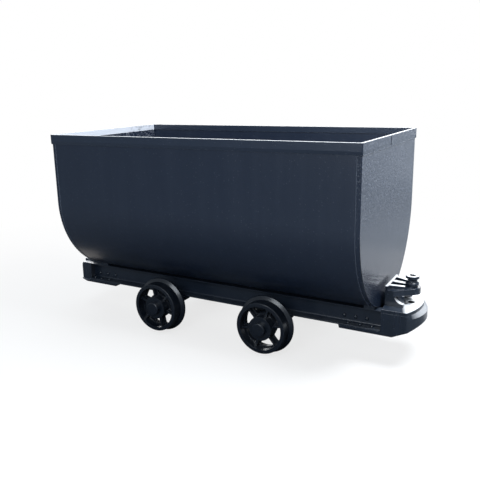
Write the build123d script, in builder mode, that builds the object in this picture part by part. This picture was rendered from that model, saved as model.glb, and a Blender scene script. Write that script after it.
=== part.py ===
from build123d import *
import os
from math import cos, radians, sin, sqrt

# Fixed-body ore cart with a U-shaped tub, in mm.
# X runs along the track with +X forward, +Y is the cart's left and Z is up.
# The origin is on the floor below the middle of the cart, which stands on its wheel flanges.

os.makedirs("parts", exist_ok=True)

# Overall sizes
bumper_length = 2392.0
bumper_reach = 218.0
rim_width = 1040.0
cart_height = 1238.0
wheel_base = 734.0

# Tub
sheet = 6.0
end_plate = 6.0
end_flange = 24.0
end_corner = 5.0
rim_height = 58.0
rim_side_bar = 7.0
rim_end_bar = 5.0
rim_foot = 2.0
rim_slope = 18.0
rim_lip = 8.0
rim_overlap = 20.0
rim_edge = 1.5
rim_corner = 5.0
rim_joint = 12.0
rim_joint_side = -42.0
rim_joint_top = 4.0

# Wheels and axles
tread_radius = 150.0
flange_depth = 20.0
wheel_face = 370.0
tread_width = 65.0
tread_bevel = 3.0
flange_slope = 13.0
flange_tip = 14.0
flange_round = 4.0
rim_ring = 22.0
web_recess = 50.0
web_thickness = 16.0
window_count = 6
window_edge = 6.0
window_corner = 9.0
spoke_width = 28.0
spoke_rib = 12.0
rib_height = 24.0
hub_radius = 70.0
hub_wall = 8.0
hub_proud = 2.0
cap_radius = 40.0
cap_height = 25.0
cap_edge = 6.0
axle_radius = 27.5
press_clearance = 0.02
journal_clearance = 0.08
front_wheel_turn = 11.0
rear_wheel_turn = -17.0

# Frame channels
beam_height = 118.0
beam_flange = 54.5
beam_web = 6.0
flange_root = 11.0
flange_toe = 7.5
root_fillet = 9.0
toe_round = 3.5
beam_spacing = 252.0
beam_drop = 4.5
cross_height = 80.0
cross_flange = 45.0
cross_wall = 6.0
cross_gap = 10.0

# Bumpers
bumper_depth = 200.0
casting_corner = 9.0
casting_edge = 7.0
bumper_wall = 16.0
shoulder_height = 22.0
shoe_thickness = 22.5
front_corner_setback = 64.0
front_shoe_length = 239.0
front_shoe_bevel = 6.0
front_nose_run = 140.0
front_nose_rise = 65.0
rear_corner_setback = 50.0
rear_shoe_length = 189.0
rear_shoe_bevel = 38.0
rear_nose_run = 88.0
rear_nose_rise = 32.0
rear_shoe_lip = 8.0
ear_length = 81.0
ear_slope = 12.0
cheek_thickness = 14.0
cheek_drop = 10.0
jaw_plate_rise = 11.0
jaw_plate_thickness = 20.0
jaw_plate_setback = 22.0
jaw_plate_edge = 3.0

# Coupler heads
pin_setback = 84.0
pin_bore = 18.0
pin_well = 27.0
mouth_height = 55.0
head_width = 226.0
back_wall = 14.0
cheek_wall = 28.0
cheek_setback = 69.0
cheek_curve = 52.0
cheek_toe_height = 17.0
throat_radius = 130.0
throat_depth = 50.0
upper_jaw = 32.0
lug_radius = 46.0
lug_thickness = 36.0
lug_angle = 58.0
boss_foot = 30.0
boss_height = 99.0
ring_radius = 35.5
ring_height = 48.0
ring_thickness = 10.0
neck_radius = 26.0
collar_radius = 35.5
collar_thickness = 16.0
collar_edge = 2.0
rib_rise = 22.0
rib_front_rise = 17.0
rib_setback = 24.0
rib_spread = 82.0
rib_aim = 57.0
rib_back_width = 26.0
rib_front_width = 20.0
middle_rib_width = 31.0

# Axle seats and tub lugs
seat_width = 56.0
seat_inset = 3.0
seat_pad_length = 236.0
seat_pad = 30.0
seat_bevel = 21.0
seat_lobe = 44.0
lug_length = 60.0
lug_width = 34.0
lug_end_gap = 12.0

# Places worked out from the sizes
rim_length = bumper_length - 2 * bumper_reach
axle_height = tread_radius + flange_depth
flange_radius = tread_radius + flange_depth
tub_radius = rim_width / 2 - rim_side_bar
end_face = rim_length / 2 - rim_end_bar
shell_half = end_face - end_flange
rim_bottom = cart_height - rim_height
sheet_top = rim_bottom + rim_overlap
beam_bottom = axle_height + axle_radius + beam_drop
beam_top = beam_bottom + beam_height
web_back = beam_spacing / 2
channel_face = web_back + beam_web
beam_toe = web_back + beam_flange
tub_centre = beam_top + sqrt(tub_radius**2 - web_back**2)
nose_x = bumper_length / 2
beam_end = nose_x - bumper_depth
front_corner_x = nose_x - front_corner_setback
rear_corner_x = nose_x - rear_corner_setback
rear_skirt_corner = rear_corner_x - rear_shoe_lip
ear_toe = rear_skirt_corner - ear_length
ear_web = ear_toe + ear_slope
pin_x = nose_x - pin_setback
plate_nose = nose_x - jaw_plate_setback
plate_top = beam_top + jaw_plate_rise
plate_bottom = plate_top - jaw_plate_thickness
skirt_top = plate_bottom - shoulder_height
shoe_bottom = beam_bottom - shoe_thickness
mouth_top = plate_top + mouth_height
head_half = head_width / 2
ends = (("front", 1, front_wheel_turn), ("rear", -1, rear_wheel_turn))
sides = (("left", 1), ("right", -1))


def save(solid, name):
    solid.label = name
    export_step(solid, f"parts/{name}.step")


def save_both_ends(solid, name):
    save(solid, f"{name}_front")
    save(mirror(solid, about=Plane.YZ), f"{name}_rear")


def u_face(inset, top):
    # The tub's section, a half circle with straight walls up from it
    side = tub_radius - inset
    with BuildSketch() as section:
        with BuildLine():
            Polyline((-side, tub_centre), (-side, top), (side, top), (side, tub_centre))
            ThreePointArc((side, tub_centre), (0, tub_centre - side), (-side, tub_centre))
        make_face()
    return section.sketch


# Tub shell, one bent sheet
with BuildPart() as tub_shell:
    with BuildSketch(Plane.YZ.offset(-shell_half)):
        add(u_face(0, sheet_top))
        add(u_face(sheet, sheet_top), mode=Mode.SUBTRACT)
    extrude(amount=2 * shell_half)
save(tub_shell.part, "tub_shell")

# Tub end, a pressed plate whose flange meets the shell edge to edge
with BuildPart() as tub_end:
    with BuildSketch(Plane.YZ.offset(shell_half)):
        add(u_face(0, rim_bottom))
    extrude(amount=end_flange)
    face_edges = tub_end.edges().group_by(Axis.X)[-1]
    fillet([edge for edge in face_edges if edge.center().Z < rim_bottom - sheet], radius=end_corner)
    # Square behind the rim bars
    with BuildSketch(Plane.YZ.offset(shell_half)):
        with Locations((0, rim_bottom + rim_overlap / 2)):
            Rectangle(2 * tub_radius, rim_overlap)
    extrude(amount=end_flange)
    with BuildSketch(Plane.YZ.offset(shell_half)):
        add(u_face(sheet, sheet_top))
    extrude(amount=end_flange - end_plate, mode=Mode.SUBTRACT)
save_both_ends(tub_end.part, "tub_end")


def rim_leg(inner, bar):
    # The outer bar, with a long slope to its lower edge
    outer = inner + bar
    with BuildSketch() as section:
        with BuildLine():
            Polyline(
                (inner, rim_bottom),
                (inner + rim_foot, rim_bottom),
                (outer, rim_bottom + rim_slope),
                (outer, cart_height),
                (inner, cart_height),
                close=True,
            )
        make_face()
        outer_edge = section.vertices().group_by(Axis.Y)[-1].sort_by(Axis.X)[-1]
        fillet(outer_edge, radius=rim_edge)
    return section.sketch


def rim_cap(inner):
    # The lip over the top of the sheet
    with BuildSketch() as section:
        with Locations((inner - rim_lip / 2, (sheet_top + cart_height) / 2)):
            Rectangle(rim_lip, cart_height - sheet_top)
    return section.sketch


# Rim, bars lapped outside the top of the sheets with a lip over them
with BuildPart() as rim_side:
    with BuildSketch(Plane.YZ.offset(-rim_length / 2)):
        add(rim_leg(tub_radius, rim_side_bar))
    extrude(amount=rim_length)
    with BuildSketch(Plane.XY.offset(rim_bottom)):
        RectangleRounded(rim_length, rim_width, rim_corner)
    extrude(amount=rim_height, mode=Mode.INTERSECT)
    with BuildSketch(Plane.YZ.offset(rim_lip - end_face)):
        add(rim_cap(tub_radius))
    extrude(amount=2 * (end_face - rim_lip))
save(rim_side.part, "rim_side_left")
save(mirror(rim_side.part, about=Plane.XZ), "rim_side_right")

with BuildPart() as rim_end:
    with BuildSketch(Plane.XZ.offset(-tub_radius)):
        add(rim_leg(end_face, rim_end_bar))
        add(rim_cap(end_face))
    extrude(amount=2 * tub_radius)
    # The two halves of the band meet in a joint that is closed only at the top
    with BuildSketch(Plane.YZ.offset(end_face)):
        with Locations((rim_joint_side, rim_bottom + (rim_height - rim_joint_top) / 2)):
            Rectangle(rim_joint, rim_height - rim_joint_top)
    extrude(amount=rim_end_bar, mode=Mode.SUBTRACT)
save_both_ends(rim_end.part, "rim_end")

# Side beams, rolled channels with their flanges turned outwards
with BuildPart() as side_beam:
    with BuildSketch(Plane.YZ.offset(-ear_web)) as channel:
        with BuildLine():
            Polyline(
                (web_back, beam_bottom),
                (beam_toe, beam_bottom),
                (beam_toe, beam_bottom + flange_toe),
                (channel_face, beam_bottom + flange_root),
                (channel_face, beam_top - flange_root),
                (beam_toe, beam_top - flange_toe),
                (beam_toe, beam_top),
                (web_back, beam_top),
                close=True,
            )
        make_face()
        inner_corners = channel.vertices().group_by(Axis.Y)[1:-1]
        fillet([group.sort_by(Axis.X)[0] for group in inner_corners[1:-1]], radius=root_fillet)
        toe_corners = channel.vertices().group_by(Axis.X)[-1].sort_by(Axis.Y)[1:-1]
        fillet(toe_corners, radius=toe_round)
    extrude(amount=ear_web + beam_end)
    # The rear ends are cut on a slope, to meet the rear bumper's ears
    with BuildSketch(Plane.XY.offset(beam_bottom)):
        with BuildLine():
            Polyline((-ear_web, channel_face), (-ear_toe, beam_toe), (-ear_web, beam_toe), close=True)
        make_face()
    extrude(amount=beam_height, mode=Mode.SUBTRACT)
save(side_beam.part, "side_beam_left")
save(mirror(side_beam.part, about=Plane.XZ), "side_beam_right")

# Cross members between the webs, over each axle and in the middle
cross_bottom = beam_top - cross_gap - flange_root - cross_height
for name, cross_x in (("front", wheel_base / 2), ("middle", 0), ("rear", -wheel_base / 2)):
    with BuildPart() as cross_member:
        with BuildSketch(Plane.XZ.offset(-web_back)):
            with Locations((cross_x, cross_bottom + cross_height / 2)):
                Rectangle(cross_flange, cross_height)
            with Locations((cross_x + cross_wall, cross_bottom + cross_height / 2)):
                Rectangle(cross_flange, cross_height - 2 * cross_wall, mode=Mode.SUBTRACT)
        extrude(amount=beam_spacing)
    save(cross_member.part, f"cross_member_{name}")


def nose_outline(back, corner, nose):
    # Plan of a casting: straight sides, rounded corners and a round nose
    with BuildSketch() as outline:
        with BuildLine():
            Polyline((corner, -beam_toe), (back, -beam_toe), (back, beam_toe), (corner, beam_toe))
            ThreePointArc((corner, beam_toe), (nose, 0), (corner, -beam_toe))
        make_face()
        fillet(outline.vertices().group_by(Axis.X)[-1], radius=casting_corner)
    return outline.sketch


# Bumper castings: a skirt with a round nose, a shoe below the beams and cheeks between their webs.
# The rear one stands between the beams, with ears that close the channels' ends.
cheek_side = web_back - cheek_thickness / 2
front_shape = (front_corner_x, 0, beam_end, beam_toe)
front_shoe = (front_shoe_length, front_shoe_bevel, front_nose_run, front_nose_rise)
rear_shape = (rear_corner_x, rear_shoe_lip, ear_web, web_back)
rear_shoe = (rear_shoe_length, rear_shoe_bevel, rear_nose_run, rear_nose_rise)
for end, (shoe_corner, shoe_lip, skirt_back, body_half), (shoe_length, shoe_bevel, nose_run, nose_rise) in (
    ("front", front_shape, front_shoe),
    ("rear", rear_shape, rear_shoe),
):
    shoe_end = beam_end - shoe_length
    cheek_length = shoe_length - shoe_bevel
    skirt_corner = shoe_corner - shoe_lip
    pocket_half = (body_half - 2 * bumper_wall - pin_well) / 2
    pocket_side = body_half - bumper_wall - pocket_half
    pocket_length = skirt_corner - beam_end - 2 * bumper_wall
    pocket_x = beam_end + bumper_wall + pocket_length / 2
    with BuildPart() as casting_plan:
        with BuildSketch(Plane.XY.offset(shoe_bottom)):
            add(nose_outline(shoe_end, shoe_corner, nose_x))
        extrude(amount=shoe_thickness)
        with BuildSketch(Plane.XY.offset(beam_bottom)):
            add(nose_outline(skirt_back, skirt_corner, nose_x))
        extrude(amount=skirt_top - beam_bottom)
    with BuildPart() as bumper:
        # The underside, bevelled at the back and rising to the nose
        with BuildSketch(Plane.XZ.offset(-beam_toe)):
            with BuildLine():
                Polyline(
                    (shoe_end, beam_bottom),
                    (shoe_end + shoe_bevel, shoe_bottom),
                    (nose_x - nose_run, shoe_bottom),
                    (nose_x, shoe_bottom + nose_rise),
                    (nose_x, skirt_top),
                    (shoe_end, skirt_top),
                    close=True,
                )
            make_face()
        extrude(amount=2 * beam_toe)
        shoe_edge_top = beam_bottom - casting_edge
        low_edges = bumper.edges().filter_by(lambda edge: edge.bounding_box().min.Z < shoe_edge_top)
        side_edges = low_edges.filter_by(Plane.XZ)
        fillet(side_edges.filter_by(Axis.Z, reverse=True), radius=casting_edge)
        add(casting_plan.part, mode=Mode.INTERSECT)
        # Shoulder, drawn in from the skirt's nose to the jaw plate's
        with BuildSketch(Plane.XY.offset(skirt_top)):
            add(nose_outline(skirt_back, skirt_corner, nose_x))
        with BuildSketch(Plane.XY.offset(plate_bottom)):
            add(nose_outline(skirt_back, skirt_corner, plate_nose))
        loft()
        if end == "rear":
            with BuildSketch(Plane.XY.offset(beam_bottom)):
                with Locations(((beam_end + skirt_corner) / 2, 0)):
                    Rectangle(skirt_corner - beam_end, 2 * web_back)
            extrude(amount=plate_bottom - beam_bottom)
            with BuildSketch(Plane.XY.offset(beam_bottom)):
                with BuildLine():
                    Polyline(
                        (ear_web, web_back),
                        (ear_web, channel_face),
                        (ear_toe, beam_toe),
                        (skirt_corner - casting_corner, beam_toe),
                        (skirt_corner - casting_corner, web_back),
                        close=True,
                    )
                make_face()
                mirror(about=Plane.XZ)
            extrude(amount=beam_height)
        # Two pockets open to below, with a web between them round the pin
        with BuildSketch(Plane.XY.offset(shoe_bottom)):
            with Locations((pocket_x, pocket_side), (pocket_x, -pocket_side)):
                RectangleRounded(pocket_length, 2 * pocket_half, bumper_wall / 2)
        extrude(amount=skirt_top - bumper_wall / 2 - shoe_bottom, mode=Mode.SUBTRACT)
        with BuildSketch(Plane.XY.offset(shoe_bottom)):
            with Locations((pin_x, 0)):
                Circle(pin_well)
        extrude(amount=plate_bottom - shoe_bottom, mode=Mode.SUBTRACT)
        with BuildSketch(Plane.XY.offset(beam_bottom)):
            with Locations(
                (beam_end - cheek_length / 2, cheek_side),
                (beam_end - cheek_length / 2, -cheek_side),
            ):
                Rectangle(cheek_length, cheek_thickness)
        extrude(amount=beam_height - cheek_drop)
    casting = bumper.part
    if end == "rear":
        casting = mirror(casting, about=Plane.YZ)
    save(casting, f"bumper_{end}")

    # Lower jaw plate, on the skirt and set back from its nose
    with BuildPart() as jaw_plate:
        with BuildSketch(Plane.XY.offset(plate_bottom)):
            add(nose_outline(beam_end, skirt_corner, plate_nose))
            with Locations((nose_x, 0)):
                Rectangle(2 * bumper_depth, 2 * body_half, mode=Mode.INTERSECT)
        extrude(amount=jaw_plate_thickness)
        top_edges = jaw_plate.edges().group_by(Axis.Z)[-1]
        fillet(top_edges.sort_by(Axis.X)[1:], radius=jaw_plate_edge)
        with BuildSketch(Plane.XY.offset(plate_bottom)):
            with Locations((pin_x, 0)):
                Circle(pin_bore)
        extrude(amount=jaw_plate_thickness, mode=Mode.SUBTRACT)
    plate = jaw_plate.part
    if end == "rear":
        plate = mirror(plate, about=Plane.YZ)
    save(plate, f"jaw_plate_{end}")

# Coupler head, the upper jaw with its throat, ribs and pin boss
throat_back = pin_x - throat_depth
throat_front = throat_back + throat_radius
inner_half = head_half - cheek_wall
throat_corner = throat_front - sqrt(throat_radius**2 - inner_half**2)
cheek_front = pin_x - cheek_setback
cheek_toe = cheek_front + cheek_curve
cheek_step = plate_top + cheek_toe_height
cheek_rise = cheek_step + cheek_curve
jaw_top = mouth_top + upper_jaw
boss_top = mouth_top + boss_height
rear_top = jaw_top + rib_rise
rib_tip = pin_x - rib_setback
lug_touch_x = pin_x + lug_radius * cos(radians(lug_angle))
lug_touch_y = lug_radius * sin(radians(lug_angle))
with BuildPart() as coupler_head:
    # Throat block, hollowed round the pin
    with BuildSketch(Plane.XY.offset(plate_top)):
        with BuildLine():
            Polyline(
                (throat_corner, -inner_half),
                (beam_end, -inner_half),
                (beam_end, inner_half),
                (throat_corner, inner_half),
            )
            ThreePointArc((throat_corner, inner_half), (throat_back, 0), (throat_corner, -inner_half))
        make_face()
    extrude(amount=mouth_height)
    # Cheeks, whose front edge sweeps down to a low toe in a quarter circle
    with BuildSketch(Plane.XZ.offset(-head_half)):
        with BuildLine():
            Polyline(
                (cheek_toe, cheek_step),
                (cheek_toe, plate_top),
                (beam_end, plate_top),
                (beam_end, jaw_top),
                (cheek_front, jaw_top),
                (cheek_front, cheek_rise),
            )
            RadiusArc((cheek_front, cheek_rise), (cheek_toe, cheek_step), -cheek_curve)
        make_face()
    extrude(amount=cheek_wall)
    mirror(about=Plane.XZ)
    # Upper jaw, tapering from the cheeks to the lug
    with BuildSketch(Plane.XY.offset(mouth_top)):
        with BuildLine():
            Polyline(
                (beam_end, -head_half),
                (beam_end, head_half),
                (cheek_front, head_half),
                (lug_touch_x, lug_touch_y),
                (lug_touch_x, -lug_touch_y),
                (cheek_front, -head_half),
                close=True,
            )
        make_face()
    extrude(amount=upper_jaw)
    with BuildSketch(Plane.XY.offset(mouth_top)):
        with Locations((pin_x, 0)):
            Circle(lug_radius)
    extrude(amount=lug_thickness)
    # Back wall and the three ribs that close in towards the boss
    with BuildSketch(Plane.XY.offset(jaw_top)):
        with Locations((beam_end + back_wall / 2, 0)):
            Rectangle(back_wall, head_width)
    extrude(amount=rib_rise)
    for back_y, front_y, back_width, front_width in (
        (-rib_spread, -rib_aim, rib_back_width, rib_front_width),
        (0, 0, middle_rib_width, middle_rib_width),
        (rib_spread, rib_aim, rib_back_width, rib_front_width),
    ):
        with BuildSketch(Plane.XY.offset(jaw_top)):
            with BuildLine():
                Polyline(
                    (beam_end, back_y - back_width / 2),
                    (rib_tip, front_y - front_width / 2),
                    (rib_tip, front_y + front_width / 2),
                    (beam_end, back_y + back_width / 2),
                    close=True,
                )
            make_face()
        extrude(amount=rib_rise)
    with BuildSketch(Plane.XZ.offset(-head_half)):
        with BuildLine():
            Polyline(
                (beam_end + back_wall, rear_top),
                (rib_tip, rear_top),
                (rib_tip, jaw_top + rib_front_rise),
                close=True,
            )
        make_face()
    extrude(amount=head_width, mode=Mode.SUBTRACT)
    # Spool-shaped boss over the lug
    with BuildSketch(Plane((pin_x, 0, 0), x_dir=(1, 0, 0), z_dir=(0, -1, 0))):
        ring_top = mouth_top + ring_height + ring_thickness
        collar_bottom = boss_top - collar_thickness
        with BuildLine():
            Polyline(
                (0, mouth_top),
                (boss_foot, mouth_top),
                (boss_foot, mouth_top + ring_height),
                (ring_radius, mouth_top + ring_height),
                (ring_radius, ring_top),
            )
            ThreePointArc(
                (ring_radius, ring_top),
                (neck_radius, (ring_top + collar_bottom) / 2),
                (collar_radius, collar_bottom),
            )
            Polyline(
                (collar_radius, collar_bottom),
                (collar_radius, boss_top - collar_edge),
                (collar_radius - collar_edge, boss_top),
                (0, boss_top),
                (0, mouth_top),
            )
        make_face()
    revolve(axis=Axis((pin_x, 0, 0), (0, 0, 1)))
    with BuildSketch(Plane.XY.offset(mouth_top)):
        with Locations((pin_x, 0)):
            Circle(pin_bore)
    extrude(amount=boss_height, mode=Mode.SUBTRACT)
save_both_ends(coupler_head.part, "coupler_head")

# Lugs that wedge the tub's ends onto the beams
lug_outer = beam_toe - seat_inset
with BuildPart() as tub_lugs:
    for lug_x in (end_face - lug_end_gap - lug_length, -end_face + lug_end_gap):
        with BuildSketch(Plane.YZ.offset(lug_x)):
            with Locations((lug_outer - lug_width / 2, beam_top + lug_width / 2)):
                Rectangle(lug_width, lug_width)
            with Locations((0, tub_centre)):
                Circle(tub_radius, mode=Mode.SUBTRACT)
        extrude(amount=lug_length)
    mirror(about=Plane.XZ)
save(tub_lugs.part, "tub_lugs")

# Axle seats under the beams, each a pad with a round lobe bored for the axle
seat_outer = beam_toe + seat_inset
lobe_bore = axle_radius + journal_clearance
for end, direction, _ in ends:
    axle_x = direction * wheel_base / 2
    for side, hand in sides:
        with BuildPart() as axle_seat:
            with BuildSketch(Plane.XZ.offset(-hand * seat_outer)):
                with BuildLine():
                    Polyline(
                        (axle_x - seat_pad_length / 2, beam_bottom),
                        (axle_x - seat_pad_length / 2 + seat_bevel, beam_bottom - seat_pad),
                        (axle_x + seat_pad_length / 2 - seat_bevel, beam_bottom - seat_pad),
                        (axle_x + seat_pad_length / 2, beam_bottom),
                        close=True,
                    )
                make_face()
                with Locations((axle_x, axle_height)):
                    Circle(seat_lobe)
                # Flat against the beam
                with Locations((axle_x, beam_bottom + seat_lobe / 2)):
                    Rectangle(2 * seat_lobe, seat_lobe, mode=Mode.SUBTRACT)
                with Locations((axle_x, axle_height)):
                    Circle(lobe_bore, mode=Mode.SUBTRACT)
            extrude(amount=hand * seat_width)
        save(axle_seat.part, f"axle_seat_{end}_{side}")

# Wheelsets: axle, two flanged wheels with windows in their webs, and hub caps
hub_face = wheel_face + hub_proud
flange_start = wheel_face - tread_width
hub_back = flange_start - flange_slope - flange_tip
web_face = wheel_face - web_recess
ring_inner = tread_radius - rim_ring
for end, direction, turn in ends:
    axle_x = direction * wheel_base / 2
    axle_axis = Axis((axle_x, 0, axle_height), (0, 1, 0))
    axle_half = hub_face - hub_wall
    with BuildPart() as axle:
        with BuildSketch(Plane((axle_x, -axle_half, axle_height), x_dir=(1, 0, 0), z_dir=(0, 1, 0))):
            Circle(axle_radius)
        extrude(amount=2 * axle_half)
    save(axle.part, f"axle_{end}")

    with BuildPart() as wheel:
        # Section of the wheel, from the axle's line outwards
        with BuildSketch(Plane((axle_x, 0, axle_height), x_dir=(0, 1, 0), z_dir=(1, 0, 0))) as wheel_section:
            with BuildLine():
                Polyline(
                    (hub_back, axle_radius + press_clearance),
                    (hub_face, axle_radius + press_clearance),
                    (hub_face, hub_radius),
                    (web_face, hub_radius),
                    (web_face, ring_inner),
                    (wheel_face, ring_inner),
                    (wheel_face, tread_radius - tread_bevel),
                    (wheel_face - tread_bevel, tread_radius),
                    (flange_start, tread_radius),
                    (flange_start - flange_slope, flange_radius),
                    (hub_back, flange_radius),
                    (hub_back, ring_inner),
                    (web_face - web_thickness, ring_inner),
                    (web_face - web_thickness, hub_radius),
                    (hub_back, hub_radius),
                    close=True,
                )
            make_face()
            fillet(wheel_section.vertices().group_by(Axis.Y)[-1], radius=flange_round)
        revolve(axis=axle_axis)
        # Windows between the spokes, and a rib along each spoke
        web_plane = Plane((axle_x, web_face, axle_height), x_dir=(1, 0, 0), z_dir=(0, -1, 0))
        with BuildSketch(web_plane) as windows:
            Circle(ring_inner - window_edge)
            Circle(hub_radius + window_edge, mode=Mode.SUBTRACT)
            with PolarLocations(ring_inner / 2, window_count, start_angle=turn):
                Rectangle(ring_inner, spoke_width, mode=Mode.SUBTRACT)
            fillet(windows.vertices(), radius=window_corner)
        extrude(amount=web_thickness, mode=Mode.SUBTRACT)
        rib_middle = (hub_radius - hub_wall + ring_inner) / 2
        with BuildSketch(web_plane):
            with PolarLocations(rib_middle, window_count, start_angle=turn):
                Rectangle(ring_inner - hub_radius + 2 * hub_wall, spoke_rib)
        extrude(amount=-rib_height)
    save(wheel.part, f"wheel_{end}_left")
    save(mirror(wheel.part, about=Plane.XZ), f"wheel_{end}_right")

    with BuildPart() as hub_cap:
        with BuildSketch(Plane((axle_x, hub_face, axle_height), x_dir=(1, 0, 0), z_dir=(0, -1, 0))):
            Circle(cap_radius)
        extrude(amount=-cap_height)
        fillet(hub_cap.edges().group_by(Axis.Y)[-1], radius=cap_edge)
    save(hub_cap.part, f"hub_cap_{end}_left")
    save(mirror(hub_cap.part, about=Plane.XZ), f"hub_cap_{end}_right")
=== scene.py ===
import math
import bmesh
import bpy
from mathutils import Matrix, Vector


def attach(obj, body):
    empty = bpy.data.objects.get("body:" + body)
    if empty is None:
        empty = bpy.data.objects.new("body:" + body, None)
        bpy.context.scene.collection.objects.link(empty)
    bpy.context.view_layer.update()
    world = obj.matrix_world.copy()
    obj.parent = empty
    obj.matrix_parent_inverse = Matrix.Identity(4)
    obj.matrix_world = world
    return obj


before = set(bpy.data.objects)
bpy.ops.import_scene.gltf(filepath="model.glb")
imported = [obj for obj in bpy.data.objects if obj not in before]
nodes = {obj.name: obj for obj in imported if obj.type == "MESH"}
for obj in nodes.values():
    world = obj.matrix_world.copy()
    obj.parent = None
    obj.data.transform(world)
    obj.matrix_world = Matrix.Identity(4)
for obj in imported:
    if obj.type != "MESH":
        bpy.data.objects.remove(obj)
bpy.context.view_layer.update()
scene = bpy.context.scene
print("frame loaded:", len(nodes), "nodes")


# camera, at the photograph's place and angle

cameraSet = {
    "place": (1.7911, -3.1221, 1.487),
    "target": (0.0, 0.0, 0.626),
    "rollDegrees": -1.21,
    "lens": 44.212,
    "shift": (0.013, -0.0212),
}


def makeCamera():
    data = bpy.data.cameras.new("camera")
    camera = bpy.data.objects.new("camera", data)
    scene.collection.objects.link(camera)
    place = Vector(cameraSet["place"])
    camera.location = place
    camera.rotation_euler = (Vector(cameraSet["target"]) - place).to_track_quat("-Z", "Y").to_euler()
    camera.rotation_euler.rotate_axis("Z", math.radians(cameraSet["rollDegrees"]))
    data.lens = cameraSet["lens"]
    data.shift_x, data.shift_y = cameraSet["shift"]
    scene.camera = camera


makeCamera()
print("camera placed")


# helpers for shader trees

def nodeIn(tree, kind, **settings):
    node = tree.nodes.new(kind)
    for key, value in settings.items():
        setattr(node, key, value)
    return node


def rangeIn(tree, low, high):
    # runs from none at the low value to all at the high one
    spread = nodeIn(tree, "ShaderNodeMapRange")
    spread.inputs["From Min"].default_value = low
    spread.inputs["From Max"].default_value = high
    return spread


def noiseIn(tree, detail, roughness=0.5):
    noise = nodeIn(tree, "ShaderNodeTexNoise")
    noise.inputs["Detail"].default_value = detail
    noise.inputs["Roughness"].default_value = roughness
    return noise


def stretchIn(tree, scale):
    stretch = nodeIn(tree, "ShaderNodeMapping")
    stretch.inputs["Scale"].default_value = scale
    return stretch


# floor, world and lamps

floorSet = {
    "size": 60.0,
    "pale": (0.8, 0.8, 0.8, 1),  # as the camera sees it
    "paintedShadowNear": (0.070, 0.078, 0.088, 1),  # painted shadow: the floor that the paint mirrors close by, darkened
    "far": (0.48, 0.53, 0.60, 1),  # and further off
    "nearReach": 1.0,
    "farReach": 6.5,
    "shadowShare": 0.25,
    "fadeFrom": 1.6,
    "fadeTo": 4.0,
}
worldSet = {
    "colour": (0.80, 0.90, 1.0, 1),
    "strength": 0.34,
    "background": (1, 1, 1, 1),
}
lampList = [
    # name, place, aim, size, watts, colour
    ("lampOverhead", (-0.4, -0.6, 4.0), (0.0, 0.0, 0.8), (3.2, 2.4), 60, (0.90, 0.96, 1.0)),
    ("lampNose", (1.95, -0.2, 3.1), (1.1, 0.0, 0.4), (1.4, 1.2), 150, (0.94, 0.97, 1.0)),
    ("lampBackLeft", (-2.3, 4.0, 2.0), (-2.3, 0.0, 1.2), (7.0, 2.2), 165, (0.98, 0.99, 1.0)),
    ("lampBackPanel", (2.7, 6.2, 0.55), (2.7, 0.0, 0.55), (3.2, 1.1), 6.3, (0.80, 0.88, 1.0)),
    ("lampFloorFar", (2.7, 3.9, 0.03), (2.7, 3.9, 1.0), (3.6, 3.6), 12, (0.82, 0.89, 1.0)),
    ("lampFloorNear", (2.1, 1.3, 0.03), (2.1, 1.3, 1.0), (2.4, 1.6), 5.6, (0.95, 0.96, 1.0)),
    ("lampFront", (0.6, -4.0, 2.4), (0.0, 0.0, 0.6), (2.0, 2.0), 76, (0.86, 0.93, 1.0)),
    ("lampBelly", (-1.48, -0.12, 0.03), (-1.48, -0.12, 1.0), (0.55, 0.45), 0.28, (1.0, 0.92, 0.84)),
]


def makeFloor():
    bpy.ops.object.select_all(action="DESELECT")
    bpy.ops.mesh.primitive_plane_add(size=floorSet["size"])
    floor = bpy.context.object
    floor.name = "floor"
    material = bpy.data.materials.new("floorPale")
    material.use_nodes = True
    tree = material.node_tree
    tree.nodes.clear()
    output = nodeIn(tree, "ShaderNodeOutputMaterial")
    path = nodeIn(tree, "ShaderNodeLightPath")
    place = nodeIn(tree, "ShaderNodeTexCoord")
    reach = nodeIn(tree, "ShaderNodeVectorMath", operation="LENGTH")
    # the floor that the paint mirrors and that bounces light is darker near the cart and paler further off: a
    # painted shadow round the cart
    spread = rangeIn(tree, floorSet["nearReach"], floorSet["farReach"])
    ground = nodeIn(tree, "ShaderNodeMix", data_type="RGBA")
    ground.inputs["A"].default_value = floorSet["paintedShadowNear"]
    ground.inputs["B"].default_value = floorSet["far"]
    tone = nodeIn(tree, "ShaderNodeMix", data_type="RGBA")
    tone.inputs["B"].default_value = floorSet["pale"]
    matte = nodeIn(tree, "ShaderNodeBsdfDiffuse")
    glow = nodeIn(tree, "ShaderNodeEmission")
    fade = rangeIn(tree, floorSet["fadeFrom"], floorSet["fadeTo"])
    fade.inputs["To Min"].default_value = 1 - floorSet["shadowShare"]
    share = nodeIn(tree, "ShaderNodeMath", operation="MULTIPLY")
    mix = nodeIn(tree, "ShaderNodeMixShader")
    tree.links.new(place.outputs["Object"], reach.inputs[0])
    tree.links.new(reach.outputs["Value"], spread.inputs["Value"])
    tree.links.new(spread.outputs["Result"], ground.inputs["Factor"])
    tree.links.new(ground.outputs["Result"], tone.inputs["A"])
    tree.links.new(path.outputs["Is Camera Ray"], tone.inputs["Factor"])
    tree.links.new(tone.outputs["Result"], matte.inputs["Color"])
    tree.links.new(reach.outputs["Value"], fade.inputs["Value"])
    tree.links.new(fade.outputs["Result"], share.inputs[0])
    tree.links.new(path.outputs["Is Camera Ray"], share.inputs[1])
    tree.links.new(share.outputs[0], mix.inputs["Fac"])
    tree.links.new(matte.outputs[0], mix.inputs[1])
    tree.links.new(glow.outputs[0], mix.inputs[2])
    tree.links.new(mix.outputs[0], output.inputs["Surface"])
    floor.data.materials.append(material)


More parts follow.
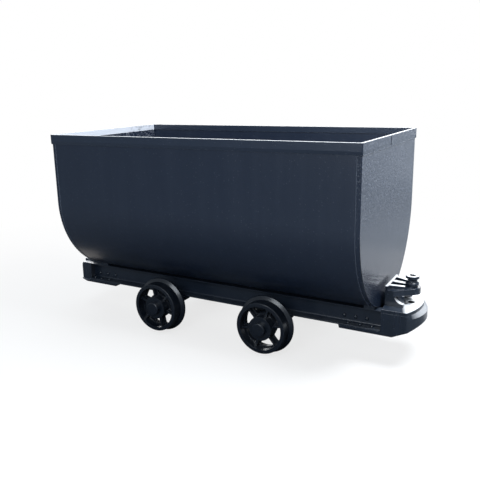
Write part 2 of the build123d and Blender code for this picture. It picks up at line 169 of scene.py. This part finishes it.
def makeWorld():
    world = bpy.data.worlds.new("studio")
    scene.world = world
    world.use_nodes = True
    tree = world.node_tree
    tree.nodes.clear()
    output = nodeIn(tree, "ShaderNodeOutputWorld")
    white = nodeIn(tree, "ShaderNodeBackground")
    white.inputs["Color"].default_value = worldSet["background"]
    soft = nodeIn(tree, "ShaderNodeBackground")
    soft.inputs["Color"].default_value = worldSet["colour"]
    soft.inputs["Strength"].default_value = worldSet["strength"]
    path = nodeIn(tree, "ShaderNodeLightPath")
    mix = nodeIn(tree, "ShaderNodeMixShader")
    tree.links.new(path.outputs["Is Camera Ray"], mix.inputs["Fac"])
    tree.links.new(soft.outputs[0], mix.inputs[1])
    tree.links.new(white.outputs[0], mix.inputs[2])
    tree.links.new(mix.outputs[0], output.inputs["Surface"])


def makeLamps():
    for name, place, aim, size, watts, colour in lampList:
        data = bpy.data.lights.new(name, "AREA")
        data.shape = "RECTANGLE"
        data.size, data.size_y = size
        data.energy = watts
        data.color = colour
        lamp = bpy.data.objects.new(name, data)
        scene.collection.objects.link(lamp)
        lamp.location = place
        lamp.rotation_euler = (Vector(aim) - Vector(place)).to_track_quat("-Z", "Y").to_euler()
        lamp.visible_camera = False


makeFloor()
makeWorld()
makeLamps()
scene.view_settings.view_transform = "Standard"
print("floor, world and lamps placed")


# effects that several finishes share, each a group with sockets for what differs between finishes

def newGroup(name, values, output):
    # a group that takes a place and the named values, and gives one output
    tree = bpy.data.node_groups.new(name, "ShaderNodeTree")
    tree.interface.new_socket("Vector", in_out="INPUT", socket_type="NodeSocketVector")
    for label, value in values.items():
        socket = tree.interface.new_socket(label, in_out="INPUT", socket_type="NodeSocketFloat")
        socket.default_value = value
    tree.interface.new_socket(output, in_out="OUTPUT", socket_type="NodeSocketFloat")
    return tree, tree.nodes.new("NodeGroupInput"), tree.nodes.new("NodeGroupOutput")


peelSet = {"fineDetail": 3, "waveScale": 7, "waveDetail": 1}


def makePeelGroup():
    # fine orange peel of sprayed paint over the long waves of rolled plate
    tree, start, end = newGroup("orangePeel", {"Grain": 160.0, "Waves": 0.3}, "Height")
    fine = noiseIn(tree, peelSet["fineDetail"])
    wave = noiseIn(tree, peelSet["waveDetail"])
    wave.inputs["Scale"].default_value = peelSet["waveScale"]
    swell = nodeIn(tree, "ShaderNodeMath", operation="MULTIPLY")
    total = nodeIn(tree, "ShaderNodeMath", operation="ADD")
    tree.links.new(start.outputs["Vector"], fine.inputs["Vector"])
    tree.links.new(start.outputs["Grain"], fine.inputs["Scale"])
    tree.links.new(start.outputs["Vector"], wave.inputs["Vector"])
    tree.links.new(wave.outputs["Fac"], swell.inputs[0])
    tree.links.new(start.outputs["Waves"], swell.inputs[1])
    tree.links.new(fine.outputs["Fac"], total.inputs[0])
    tree.links.new(swell.outputs[0], total.inputs[1])
    tree.links.new(total.outputs[0], end.inputs["Height"])
    return tree


streakSet = {"stretch": (1.0, 1.0, 0.07), "detail": 5, "roughness": 0.62, "full": 0.78}


def makeStreakGroup():
    # marks that run down the walls
    tree, start, end = newGroup("runMarks", {"Across": 16.0, "Least": 0.45}, "Mask")
    stretch = stretchIn(tree, streakSet["stretch"])
    noise = noiseIn(tree, streakSet["detail"], streakSet["roughness"])
    cut = rangeIn(tree, 0.0, streakSet["full"])
    tree.links.new(start.outputs["Vector"], stretch.inputs["Vector"])
    tree.links.new(stretch.outputs["Vector"], noise.inputs["Vector"])
    tree.links.new(start.outputs["Across"], noise.inputs["Scale"])
    tree.links.new(start.outputs["Least"], cut.inputs["From Min"])
    tree.links.new(noise.outputs["Fac"], cut.inputs["Value"])
    tree.links.new(cut.outputs["Result"], end.inputs["Mask"])
    return tree


dustAndGlareSet = {
    "slant": 0.30,  # how far the line where the dust and the painted glare begin leans across the cart
    "fade": 0.02,
    "faceUp": (0.3, 0.95),
    "detail": 6,
    "roughness": 0.7,
    "patchSoftness": 0.25,
}


def makeDustAndGlareGroup():
    # pale dust, and on the castings, coupler and rims a painted glare, in patches on what faces up, within a
    # band of heights and beyond a distance from the middle
    tree, start, end = newGroup(
        "settledDustAndGlare", {"Patches": 9.0, "Thin": 0.4, "Level": 0.0, "Band": 9.0, "Beyond": -1.0}, "Mask",
    )
    place = nodeIn(tree, "ShaderNodeSeparateXYZ")
    inBand = nodeIn(tree, "ShaderNodeMath", operation="COMPARE")
    away = nodeIn(tree, "ShaderNodeMath", operation="ABSOLUTE")
    slant = nodeIn(tree, "ShaderNodeMath", operation="MULTIPLY_ADD")
    slant.inputs[1].default_value = dustAndGlareSet["slant"]
    past = nodeIn(tree, "ShaderNodeMath", operation="SUBTRACT")
    spread = rangeIn(tree, 0.0, dustAndGlareSet["fade"])
    outside = nodeIn(tree, "ShaderNodeMath", operation="MULTIPLY")
    kept = nodeIn(tree, "ShaderNodeMath", operation="MULTIPLY")
    shape = nodeIn(tree, "ShaderNodeNewGeometry")
    split = nodeIn(tree, "ShaderNodeSeparateXYZ")
    faceUp = rangeIn(tree, *dustAndGlareSet["faceUp"])
    noise = noiseIn(tree, dustAndGlareSet["detail"], dustAndGlareSet["roughness"])
    top = nodeIn(tree, "ShaderNodeMath", operation="ADD")
    top.inputs[1].default_value = dustAndGlareSet["patchSoftness"]
    cut = nodeIn(tree, "ShaderNodeMapRange")
    both = nodeIn(tree, "ShaderNodeMath", operation="MULTIPLY")
    tree.links.new(shape.outputs["Normal"], split.inputs[0])
    tree.links.new(split.outputs["Z"], faceUp.inputs["Value"])
    tree.links.new(start.outputs["Vector"], noise.inputs["Vector"])
    tree.links.new(start.outputs["Patches"], noise.inputs["Scale"])
    tree.links.new(noise.outputs["Fac"], cut.inputs["Value"])
    tree.links.new(start.outputs["Thin"], cut.inputs["From Min"])
    tree.links.new(start.outputs["Thin"], top.inputs[0])
    tree.links.new(top.outputs[0], cut.inputs["From Max"])
    tree.links.new(faceUp.outputs["Result"], both.inputs[0])
    tree.links.new(cut.outputs["Result"], both.inputs[1])
    tree.links.new(start.outputs["Vector"], place.inputs[0])
    tree.links.new(place.outputs["Z"], inBand.inputs[0])
    tree.links.new(start.outputs["Level"], inBand.inputs[1])
    tree.links.new(start.outputs["Band"], inBand.inputs[2])
    tree.links.new(place.outputs["X"], away.inputs[0])
    tree.links.new(place.outputs["Y"], slant.inputs[0])
    tree.links.new(away.outputs[0], slant.inputs[2])
    tree.links.new(slant.outputs[0], past.inputs[0])
    tree.links.new(start.outputs["Beyond"], past.inputs[1])
    tree.links.new(past.outputs[0], spread.inputs["Value"])
    tree.links.new(inBand.outputs[0], outside.inputs[0])
    tree.links.new(spread.outputs["Result"], outside.inputs[1])
    tree.links.new(both.outputs[0], kept.inputs[0])
    tree.links.new(outside.outputs[0], kept.inputs[1])
    tree.links.new(kept.outputs[0], end.inputs["Mask"])
    return tree


wearAndSheenSet = {"samples": 6, "turn": (0.985, 0.86), "detail": 5, "cut": (0.42, 0.62)}


def makeWearAndSheenGroup():
    # paint rubbed thin along the edges, and on the weld beads painted highlights along them
    tree, start, end = newGroup("edgeWearAndSheen", {"Reach": 0.003, "Breaks": 55.0}, "Mask")
    shape = nodeIn(tree, "ShaderNodeNewGeometry")
    rounded = nodeIn(tree, "ShaderNodeBevel", samples=wearAndSheenSet["samples"])
    turn = nodeIn(tree, "ShaderNodeVectorMath", operation="DOT_PRODUCT")
    edge = rangeIn(tree, *wearAndSheenSet["turn"])
    noise = noiseIn(tree, wearAndSheenSet["detail"])
    cut = rangeIn(tree, *wearAndSheenSet["cut"])
    both = nodeIn(tree, "ShaderNodeMath", operation="MULTIPLY")
    tree.links.new(start.outputs["Reach"], rounded.inputs["Radius"])
    tree.links.new(rounded.outputs["Normal"], turn.inputs[0])
    tree.links.new(shape.outputs["Normal"], turn.inputs[1])
    tree.links.new(turn.outputs["Value"], edge.inputs["Value"])
    tree.links.new(start.outputs["Vector"], noise.inputs["Vector"])
    tree.links.new(start.outputs["Breaks"], noise.inputs["Scale"])
    tree.links.new(noise.outputs["Fac"], cut.inputs["Value"])
    tree.links.new(edge.outputs["Result"], both.inputs[0])
    tree.links.new(cut.outputs["Result"], both.inputs[1])
    tree.links.new(both.outputs[0], end.inputs["Mask"])
    return tree


speckAndGlintSet = {"plainShare": 0.72}


def makeSpeckAndGlintGroup():
    # small chips and specks, and on the weld beads painted glints
    tree, start, end = newGroup("paintSpecksAndGlints", {"Scale": 70.0, "Size": 0.2}, "Mask")
    cells = nodeIn(tree, "ShaderNodeTexVoronoi")
    pick = nodeIn(tree, "ShaderNodeSeparateColor")
    some = nodeIn(tree, "ShaderNodeMath", operation="GREATER_THAN")
    some.inputs[1].default_value = speckAndGlintSet["plainShare"]
    small = nodeIn(tree, "ShaderNodeMath", operation="LESS_THAN")
    both = nodeIn(tree, "ShaderNodeMath", operation="MULTIPLY")
    tree.links.new(start.outputs["Vector"], cells.inputs["Vector"])
    tree.links.new(start.outputs["Scale"], cells.inputs["Scale"])
    tree.links.new(cells.outputs["Color"], pick.inputs[0])
    tree.links.new(pick.outputs[0], some.inputs[0])
    tree.links.new(cells.outputs["Distance"], small.inputs[0])
    tree.links.new(start.outputs["Size"], small.inputs[1])
    tree.links.new(some.outputs[0], both.inputs[0])
    tree.links.new(small.outputs[0], both.inputs[1])
    tree.links.new(both.outputs[0], end.inputs["Mask"])
    return tree


gritSet = {
    "stretch": (1.0, 0.6, 1.0),
    "detail": 2,
    "cut": (0.46, 0.74),
    "endOn": (0.7, 0.98),
    "heights": (0.48, 0.90),
}


def makeGritGroup():
    # coarse light grit in the paint of the end plates, wider than it is high and thinner lower down
    tree, start, end = newGroup("coarseGrit", {"Scale": 105.0}, "Mask")
    stretch = stretchIn(tree, gritSet["stretch"])
    noise = noiseIn(tree, gritSet["detail"])
    cut = rangeIn(tree, *gritSet["cut"])
    shape = nodeIn(tree, "ShaderNodeNewGeometry")
    split = nodeIn(tree, "ShaderNodeSeparateXYZ")
    flat = nodeIn(tree, "ShaderNodeMath", operation="ABSOLUTE")
    endOn = rangeIn(tree, *gritSet["endOn"])
    both = nodeIn(tree, "ShaderNodeMath", operation="MULTIPLY")
    place = nodeIn(tree, "ShaderNodeSeparateXYZ")
    lift = rangeIn(tree, *gritSet["heights"])
    raised = nodeIn(tree, "ShaderNodeMath", operation="MULTIPLY")
    tree.links.new(start.outputs["Vector"], stretch.inputs["Vector"])
    tree.links.new(stretch.outputs["Vector"], noise.inputs["Vector"])
    tree.links.new(start.outputs["Scale"], noise.inputs["Scale"])
    tree.links.new(noise.outputs["Fac"], cut.inputs["Value"])
    tree.links.new(shape.outputs["Normal"], split.inputs[0])
    tree.links.new(split.outputs["X"], flat.inputs[0])
    tree.links.new(flat.outputs[0], endOn.inputs["Value"])
    tree.links.new(cut.outputs["Result"], both.inputs[0])
    tree.links.new(endOn.outputs["Result"], both.inputs[1])
    tree.links.new(start.outputs["Vector"], place.inputs[0])
    tree.links.new(place.outputs["Z"], lift.inputs["Value"])
    tree.links.new(both.outputs[0], raised.inputs[0])
    tree.links.new(lift.outputs["Result"], raised.inputs[1])
    tree.links.new(raised.outputs[0], end.inputs["Mask"])
    return tree


paintedFrontLightSet = {
    "stretch": (1.0, 0.35, 1.0),
    "forward": (0.5, 0.9),
    "detail": 6,
    "roughness": 0.7,
    "cut": (0.30, 0.46),
}


def makePaintedFrontLightGroup():
    # painted light in broken patches on the faces that look to the front: a pale painted reflection on the
    # rear rim's inner face, and painted fill over the shade in the rear casting's recesses
    tree, start, end = newGroup("frontFacesPaintedLight", {"Breaks": 14.0}, "Mask")
    shape = nodeIn(tree, "ShaderNodeNewGeometry")
    split = nodeIn(tree, "ShaderNodeSeparateXYZ")
    forward = rangeIn(tree, *paintedFrontLightSet["forward"])
    stretch = stretchIn(tree, paintedFrontLightSet["stretch"])
    noise = noiseIn(tree, paintedFrontLightSet["detail"], paintedFrontLightSet["roughness"])
    cut = rangeIn(tree, *paintedFrontLightSet["cut"])
    both = nodeIn(tree, "ShaderNodeMath", operation="MULTIPLY")
    tree.links.new(shape.outputs["Normal"], split.inputs[0])
    tree.links.new(split.outputs["X"], forward.inputs["Value"])
    tree.links.new(start.outputs["Vector"], stretch.inputs["Vector"])
    tree.links.new(stretch.outputs["Vector"], noise.inputs["Vector"])
    tree.links.new(start.outputs["Breaks"], noise.inputs["Scale"])
    tree.links.new(noise.outputs["Fac"], cut.inputs["Value"])
    tree.links.new(forward.outputs["Result"], both.inputs[0])
    tree.links.new(cut.outputs["Result"], both.inputs[1])
    tree.links.new(both.outputs[0], end.inputs["Mask"])
    return tree


effects = {
    "grit": makeGritGroup(),
    "paintedFrontLight": makePaintedFrontLightGroup(),
    "peel": makePeelGroup(),
    "streak": makeStreakGroup(),
    "dustAndGlare": makeDustAndGlareGroup(),
    "wearAndSheen": makeWearAndSheenGroup(),
    "speckAndGlint": makeSpeckAndGlintGroup(),
}
print("shared effects built:", len(effects))


# paint and steel

tubPaintSet = {
    "colour": (0.0122, 0.0195, 0.0375, 1),
    "streakColour": (0.0200, 0.0290, 0.0500, 1),
    "dustAndGlareColour": (0.30, 0.32, 0.35, 1),
    "wearAndSheenColour": (0.20, 0.22, 0.26, 1),
    "rough": 0.30,
    "roughSpread": 0.05,
    "coat": 0.35,
    "coatRough": 0.18,
    "grain": 150,
    "bump": 0.3,
    "bumpDepth": 0.002,
    "waves": 0.3,
    "streak": 0.4,
    "dustAndGlare": 0.25,
    "dustAndGlareThin": 0.38,
    "dustAndGlarePatches": 9,
    "dustAndGlareBands": ((0.0, 9.0),),  # middle height and reach of each
    "dustAndGlareBeyond": -1.0,
    "wearAndSheen": 0.35,
    "wearAndSheenReach": 0.003,
    "specksAndGlints": 0.12,
    "speckAndGlintScale": 70,
    "grit": 0.0,
    "gritColour": (0.34, 0.36, 0.41, 1),
    "paintedFrontLight": 0.0,
    "paintedFrontLightColour": (0.70, 0.74, 0.82, 1),
    "round": 0.002,
    "roundSamples": 4,
}
endPaintSet = dict(
    tubPaintSet, wearAndSheenColour=(0.32, 0.34, 0.38, 1), rough=0.24, bump=0.9, grain=110, waves=0.25, streak=0.3,
    specksAndGlints=0.3, speckAndGlintScale=90, dustAndGlare=0.1, wearAndSheen=0.2, grit=0.36,
)
# the rims get a lighter blue than the shell and pale grey on what faces up: painted light, the bars and their
# tops catching more light than the walls
rimPaintSet = dict(
    tubPaintSet, colour=(0.0165, 0.0255, 0.0450, 1), wearAndSheen=0.6, dustAndGlare=0.8, dustAndGlareThin=0.2, bump=0.5, grit=0.30,
)
# the rear rim's inner face is painted pale: a painted reflection
rearRimPaintSet = dict(rimPaintSet, paintedFrontLight=0.95)
framePaintSet = dict(
    tubPaintSet, colour=(0.0092, 0.0155, 0.0275, 1), rough=0.36, streak=0.2, wearAndSheen=0.05, grain=120, dustAndGlare=0.06,
)
# the castings' tops are painted near white beyond the line across the jaw plate: painted glare where the
# light strikes them
castingPaintSet = dict(
    tubPaintSet, colour=(0.0092, 0.0152, 0.0265, 1), rough=0.24, grain=85, wearAndSheen=0.3, round=0.004,
    dustAndGlareColour=(0.72, 0.73, 0.75, 1), dustAndGlare=0.97, dustAndGlareThin=0.18, dustAndGlarePatches=90, dustAndGlareBeyond=1.054,
)
# the rear casting's faces that look to the front are painted lighter: painted fill over the shade in the
# recesses at the ears
rearCastingPaintSet = dict(castingPaintSet, paintedFrontLight=0.9, paintedFrontLightColour=(0.060, 0.070, 0.090, 1))
# the coupler's rib tops, ring top and collar top are painted near white at these heights: painted glare
couplerPaintSet = dict(
    castingPaintSet, dustAndGlareThin=0.12, dustAndGlareBeyond=-1.0,
    dustAndGlareBands=((0.366, 0.034), (0.4375, 0.0045), (0.485, 0.003)),
)
wheelPaintSet = dict(
    tubPaintSet, colour=(0.0048, 0.0080, 0.0145, 1), grain=95, bump=0.2, wearAndSheen=0.15, streak=0.1, dustAndGlare=0.04,
    specksAndGlints=0.08,
)
axleSteelSet = dict(
    tubPaintSet, colour=(0.035, 0.040, 0.048, 1), rough=0.4, coat=0.0, grain=220, wearAndSheen=0.6, specksAndGlints=0.2,
)
# the weld beads are painted a lighter grey-blue than the paint around them, with pale edge marks and dense
# specks: painted highlights, the light lines and dashes the beads catch
weldPaintAndSheenSet = dict(
    tubPaintSet, colour=(0.075, 0.090, 0.120, 1), rough=0.26, grain=260, bump=0.5, wearAndSheen=0.9, wearAndSheenReach=0.0012,
    specksAndGlints=0.9, speckAndGlintScale=160,
)
rivetPaintSet = dict(castingPaintSet, dustAndGlare=0.08, wearAndSheen=0.2, bump=0.15)


def effectNode(tree, name, coords, **values):
    node = nodeIn(tree, "ShaderNodeGroup", node_tree=effects[name])
    tree.links.new(coords, node.inputs["Vector"])
    for label, value in values.items():
        node.inputs[label].default_value = value
    return node


def layColour(tree, under, over, mask, amount):
    share = nodeIn(tree, "ShaderNodeMath", operation="MULTIPLY")
    share.inputs[1].default_value = amount
    mix = nodeIn(tree, "ShaderNodeMix", data_type="RGBA")
    mix.inputs["B"].default_value = over
    if isinstance(under, tuple):
        mix.inputs["A"].default_value = under
    else:
        tree.links.new(under, mix.inputs["A"])
    tree.links.new(mask, share.inputs[0])
    tree.links.new(share.outputs[0], mix.inputs["Factor"])
    return mix.outputs["Result"]


def paintMaterial(name, look):
    material = bpy.data.materials.new(name)
    material.use_nodes = True
    tree = material.node_tree
    shader = tree.nodes["Principled BSDF"]
    shader.inputs["Coat Weight"].default_value = look["coat"]
    shader.inputs["Coat Roughness"].default_value = look["coatRough"]
    coords = nodeIn(tree, "ShaderNodeTexCoord").outputs["Object"]
    streak = effectNode(tree, "streak", coords)
    wearAndSheen = effectNode(tree, "wearAndSheen", coords, Reach=look["wearAndSheenReach"])
    speckAndGlint = effectNode(tree, "speckAndGlint", coords, Scale=look["speckAndGlintScale"])
    colour = layColour(tree, look["colour"], look["streakColour"], streak.outputs["Mask"], look["streak"])
    colour = layColour(tree, colour, look["wearAndSheenColour"], wearAndSheen.outputs["Mask"], look["wearAndSheen"])
    colour = layColour(tree, colour, look["wearAndSheenColour"], speckAndGlint.outputs["Mask"], look["specksAndGlints"])
    # pale dust on what faces up, which on the castings, coupler and rims is painted glare
    for level, band in look["dustAndGlareBands"]:
        dustAndGlare = effectNode(
            tree, "dustAndGlare", coords, Patches=look["dustAndGlarePatches"], Thin=look["dustAndGlareThin"], Level=level, Band=band,
            Beyond=look["dustAndGlareBeyond"],
        )
        colour = layColour(tree, colour, look["dustAndGlareColour"], dustAndGlare.outputs["Mask"], look["dustAndGlare"])
    # on the rear rim and rear casting this lays painted light over the faces that look to the front
    for effect in ("grit", "paintedFrontLight"):
        if look[effect] > 0:
            mark = effectNode(tree, effect, coords)
            colour = layColour(tree, colour, look[effect + "Colour"], mark.outputs["Mask"], look[effect])
    tree.links.new(colour, shader.inputs["Base Color"])
    rough = nodeIn(tree, "ShaderNodeMapRange")
    rough.inputs["To Min"].default_value = look["rough"]
    rough.inputs["To Max"].default_value = look["rough"] + look["roughSpread"]
    tree.links.new(streak.outputs["Mask"], rough.inputs["Value"])
    tree.links.new(rough.outputs["Result"], shader.inputs["Roughness"])
    peel = effectNode(tree, "peel", coords, Grain=look["grain"], Waves=look["waves"])
    soft = nodeIn(tree, "ShaderNodeBevel", samples=look["roundSamples"])
    soft.inputs["Radius"].default_value = look["round"]
    bump = nodeIn(tree, "ShaderNodeBump")
    bump.inputs["Strength"].default_value = look["bump"]
    bump.inputs["Distance"].default_value = look["bumpDepth"]
    tree.links.new(peel.outputs["Height"], bump.inputs["Height"])
    tree.links.new(soft.outputs["Normal"], bump.inputs["Normal"])
    tree.links.new(bump.outputs["Normal"], shader.inputs["Normal"])
    return material


tubPaint = paintMaterial("tubPaint", tubPaintSet)
endPaint = paintMaterial("endPaint", endPaintSet)
rimPaint = paintMaterial("rimPaint", rimPaintSet)
rearRimPaint = paintMaterial("rearRimPaint", rearRimPaintSet)
framePaint = paintMaterial("framePaint", framePaintSet)
castingPaint = paintMaterial("castingPaint", castingPaintSet)
rearCastingPaint = paintMaterial("rearCastingPaint", rearCastingPaintSet)
couplerPaint = paintMaterial("couplerPaint", couplerPaintSet)
wheelPaint = paintMaterial("wheelPaint", wheelPaintSet)
axleSteel = paintMaterial("axleSteel", axleSteelSet)
weldPaintAndSheen = paintMaterial("weldPaintAndSheen", weldPaintAndSheenSet)
rivetPaint = paintMaterial("rivetPaint", rivetPaintSet)

# the first row that a name starts with gives its finish
finishOf = [
    (("tub_shell",), tubPaint),
    (("tub_end",), endPaint),
    (("rim_end_rear",), rearRimPaint),
    (("rim",), rimPaint),
    (("side_beam", "cross_member", "tub_lugs"), framePaint),
    (("coupler",), couplerPaint),
    (("bumper_rear",), rearCastingPaint),
    (("bumper", "jaw_plate", "axle_seat"), castingPaint),
    (("wheel", "hub_cap"), wheelPaint),
    (("axle_front", "axle_rear"), axleSteel),
]
for name, node in nodes.items():
    node.data.materials.clear()
    node.data.materials.append(next(finish for starts, finish in finishOf if name.startswith(starts)))
print("paint and steel given")


# helpers for the small pieces

pieceSet = {"mergeReach": 0.00002, "smoothDegrees": 50}
endsOfCart = (("front", 1), ("rear", -1))
sidesOfCart = (("left", 1), ("right", -1))


def clearSelection():
    bpy.ops.object.select_all(action="DESELECT")


def pickEdges(piece, wanted):
    # in edit mode, selects the edges whose middle passes the test
    mesh = bmesh.from_edit_mesh(piece.data)
    for part in (mesh.verts, mesh.edges, mesh.faces):
        for item in part:
            item.select_set(False)
    for edge in mesh.edges:
        if wanted((edge.verts[0].co + edge.verts[1].co) / 2):
            edge.select_set(True)
    mesh.select_flush_mode()
    bmesh.update_edit_mesh(piece.data)


def extrudeBy(step):
    bpy.ops.mesh.extrude_region_move(TRANSFORM_OT_translate={"value": tuple(step)})


def keepPlace(piece):
    # puts the piece's place and turn into its mesh
    clearSelection()
    piece.select_set(True)
    bpy.context.view_layer.objects.active = piece
    bpy.ops.object.transform_apply(location=True, rotation=True, scale=True)


def finishPiece(piece, name, finish, smoothDegrees=pieceSet["smoothDegrees"]):
    keepPlace(piece)
    bpy.ops.object.mode_set(mode="EDIT")
    bpy.ops.mesh.select_all(action="SELECT")
    bpy.ops.mesh.remove_doubles(threshold=pieceSet["mergeReach"])
    bpy.ops.mesh.normals_make_consistent(inside=False)
    bpy.ops.object.mode_set(mode="OBJECT")
    bpy.ops.object.shade_smooth_by_angle(angle=math.radians(smoothDegrees))
    piece.name = name
    piece.data.name = name
    piece.data.materials.clear()
    piece.data.materials.append(finish)
    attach(piece, "cart")


def copyAt(piece, place, turn=(0, 0, 0)):
    twin = piece.copy()
    twin.data = piece.data.copy()
    scene.collection.objects.link(twin)
    twin.location = place
    twin.rotation_euler = turn
    return twin


def joinPieces(pieces):
    for piece in pieces:
        keepPlace(piece)
    clearSelection()
    for piece in pieces:
        piece.select_set(True)
    bpy.context.view_layer.objects.active = pieces[0]
    bpy.ops.object.join()
    return pieces[0]


# rivets that hold the castings, through the webs and the lower flanges

rivetSet = {
    "sides": 20,
    "radius": 0.0115,
    "height": 0.0078,
    "crown": 0.0070,
    "crownSteps": 5,
    "topShare": 0.9,  # edges above this share of the height are the top ring
    "smoothDegrees": 40,
    "webFace": 0.132,
    "webHeight": 0.243,
    "flangeMiddle": 0.155,
    "flangeTop": 0.2113,
    "webAlong": {"front": (0.778, 0.843, 0.907), "rear": (-1.016, -0.946, -0.878)},
    "flangeAlong": {"front": (0.809, 0.878, 0.943), "rear": (-1.046, -0.986, -0.918)},
}


def makeRivets():
    clearSelection()
    height = rivetSet["height"]
    bpy.ops.mesh.primitive_cylinder_add(
        vertices=rivetSet["sides"], radius=rivetSet["radius"], depth=height, location=(0, 0, height / 2),
    )
    model = bpy.context.object
    keepPlace(model)
    bpy.ops.object.mode_set(mode="EDIT")
    pickEdges(model, lambda middle: middle.z > height * rivetSet["topShare"])
    bpy.ops.mesh.bevel(offset=rivetSet["crown"], segments=rivetSet["crownSteps"], affect="EDGES")
    bpy.ops.object.mode_set(mode="OBJECT")
    for end in rivetSet["webAlong"]:
        for side, hand in sidesOfCart:
            heads = []
            for x in rivetSet["webAlong"][end]:
                place = (x, hand * rivetSet["webFace"], rivetSet["webHeight"])
                heads.append(copyAt(model, place, (math.radians(-90 * hand), 0, 0)))
            for x in rivetSet["flangeAlong"][end]:
                heads.append(copyAt(model, (x, hand * rivetSet["flangeMiddle"], rivetSet["flangeTop"])))
            name = "rivets_" + end + "_" + side
            finishPiece(joinPieces(heads), name, rivetPaint, rivetSet["smoothDegrees"])
    bpy.data.objects.remove(model)


# weld beads: where the shell meets the end plates, under the end bars, and round the rear ears

beadSet = {
    "sides": 8,
    "seamX": 0.949,
    "seamRadius": 0.0022,
    "seamSegments": 56,
    "tubCentre": 0.81729,
    "tubSide": 0.513,
    "rimFoot": 1.180,
    "endFace": 0.973,
    "rimBeadRadius": 0.003,
    "rimBeadInset": 0.006,
    "earBeadRadius": 0.0034,
    "earFace": 0.1805,
    "earPath": ((-1.128, 0.200), (-1.120, 0.196), (-1.082, 0.195), (-1.060, 0.207)),
}


def startBead(radius, place, turn=(0, 0, 0)):
    # a small filled ring in edit mode, ready to be drawn out
    clearSelection()
    bpy.ops.mesh.primitive_circle_add(
        vertices=beadSet["sides"], radius=radius, fill_type="NGON", location=place, rotation=turn,
    )
    bpy.ops.object.mode_set(mode="EDIT")
    bpy.ops.mesh.select_all(action="SELECT")
    return bpy.context.object


def makeSeams():
    # down one wall, round the bottom and up the other
    drop = Vector((0, 0, beadSet["tubCentre"] - beadSet["rimFoot"]))
    for end, direction in endsOfCart:
        centre = (direction * beadSet["seamX"], 0, beadSet["tubCentre"])
        piece = startBead(beadSet["seamRadius"], (centre[0], -beadSet["tubSide"], beadSet["rimFoot"]))
        extrudeBy(drop)
        bpy.ops.mesh.spin(steps=beadSet["seamSegments"], angle=math.pi, center=centre, axis=(-1, 0, 0))
        extrudeBy(-drop)
        bpy.ops.object.mode_set(mode="OBJECT")
        finishPiece(piece, "seam_weld_" + end, weldPaintAndSheen)


def makeBead(name, points, radius):
    # a bead along a line of points, that starts square to the first run
    first, second = Vector(points[0]), Vector(points[1])
    piece = startBead(radius, first, (second - first).to_track_quat("Z", "Y").to_euler())
    for start, stop in zip(points, points[1:]):
        extrudeBy(Vector(stop) - Vector(start))
    bpy.ops.object.mode_set(mode="OBJECT")
    finishPiece(piece, name, weldPaintAndSheen)


makeRivets()
makeSeams()
for end, direction in endsOfCart:
    beadX = direction * beadSet["endFace"]
    beadReach = beadSet["tubSide"] - beadSet["rimBeadInset"]
    beadLine = [(beadX, y, beadSet["rimFoot"]) for y in (-beadReach, beadReach)]
    makeBead("rim_weld_" + end, beadLine, beadSet["rimBeadRadius"])
for side, hand in sidesOfCart:
    beadLine = [(x, hand * beadSet["earFace"], z) for x, z in beadSet["earPath"]]
    makeBead("ear_weld_" + side, beadLine, beadSet["earBeadRadius"])
print("rivets and welds made")
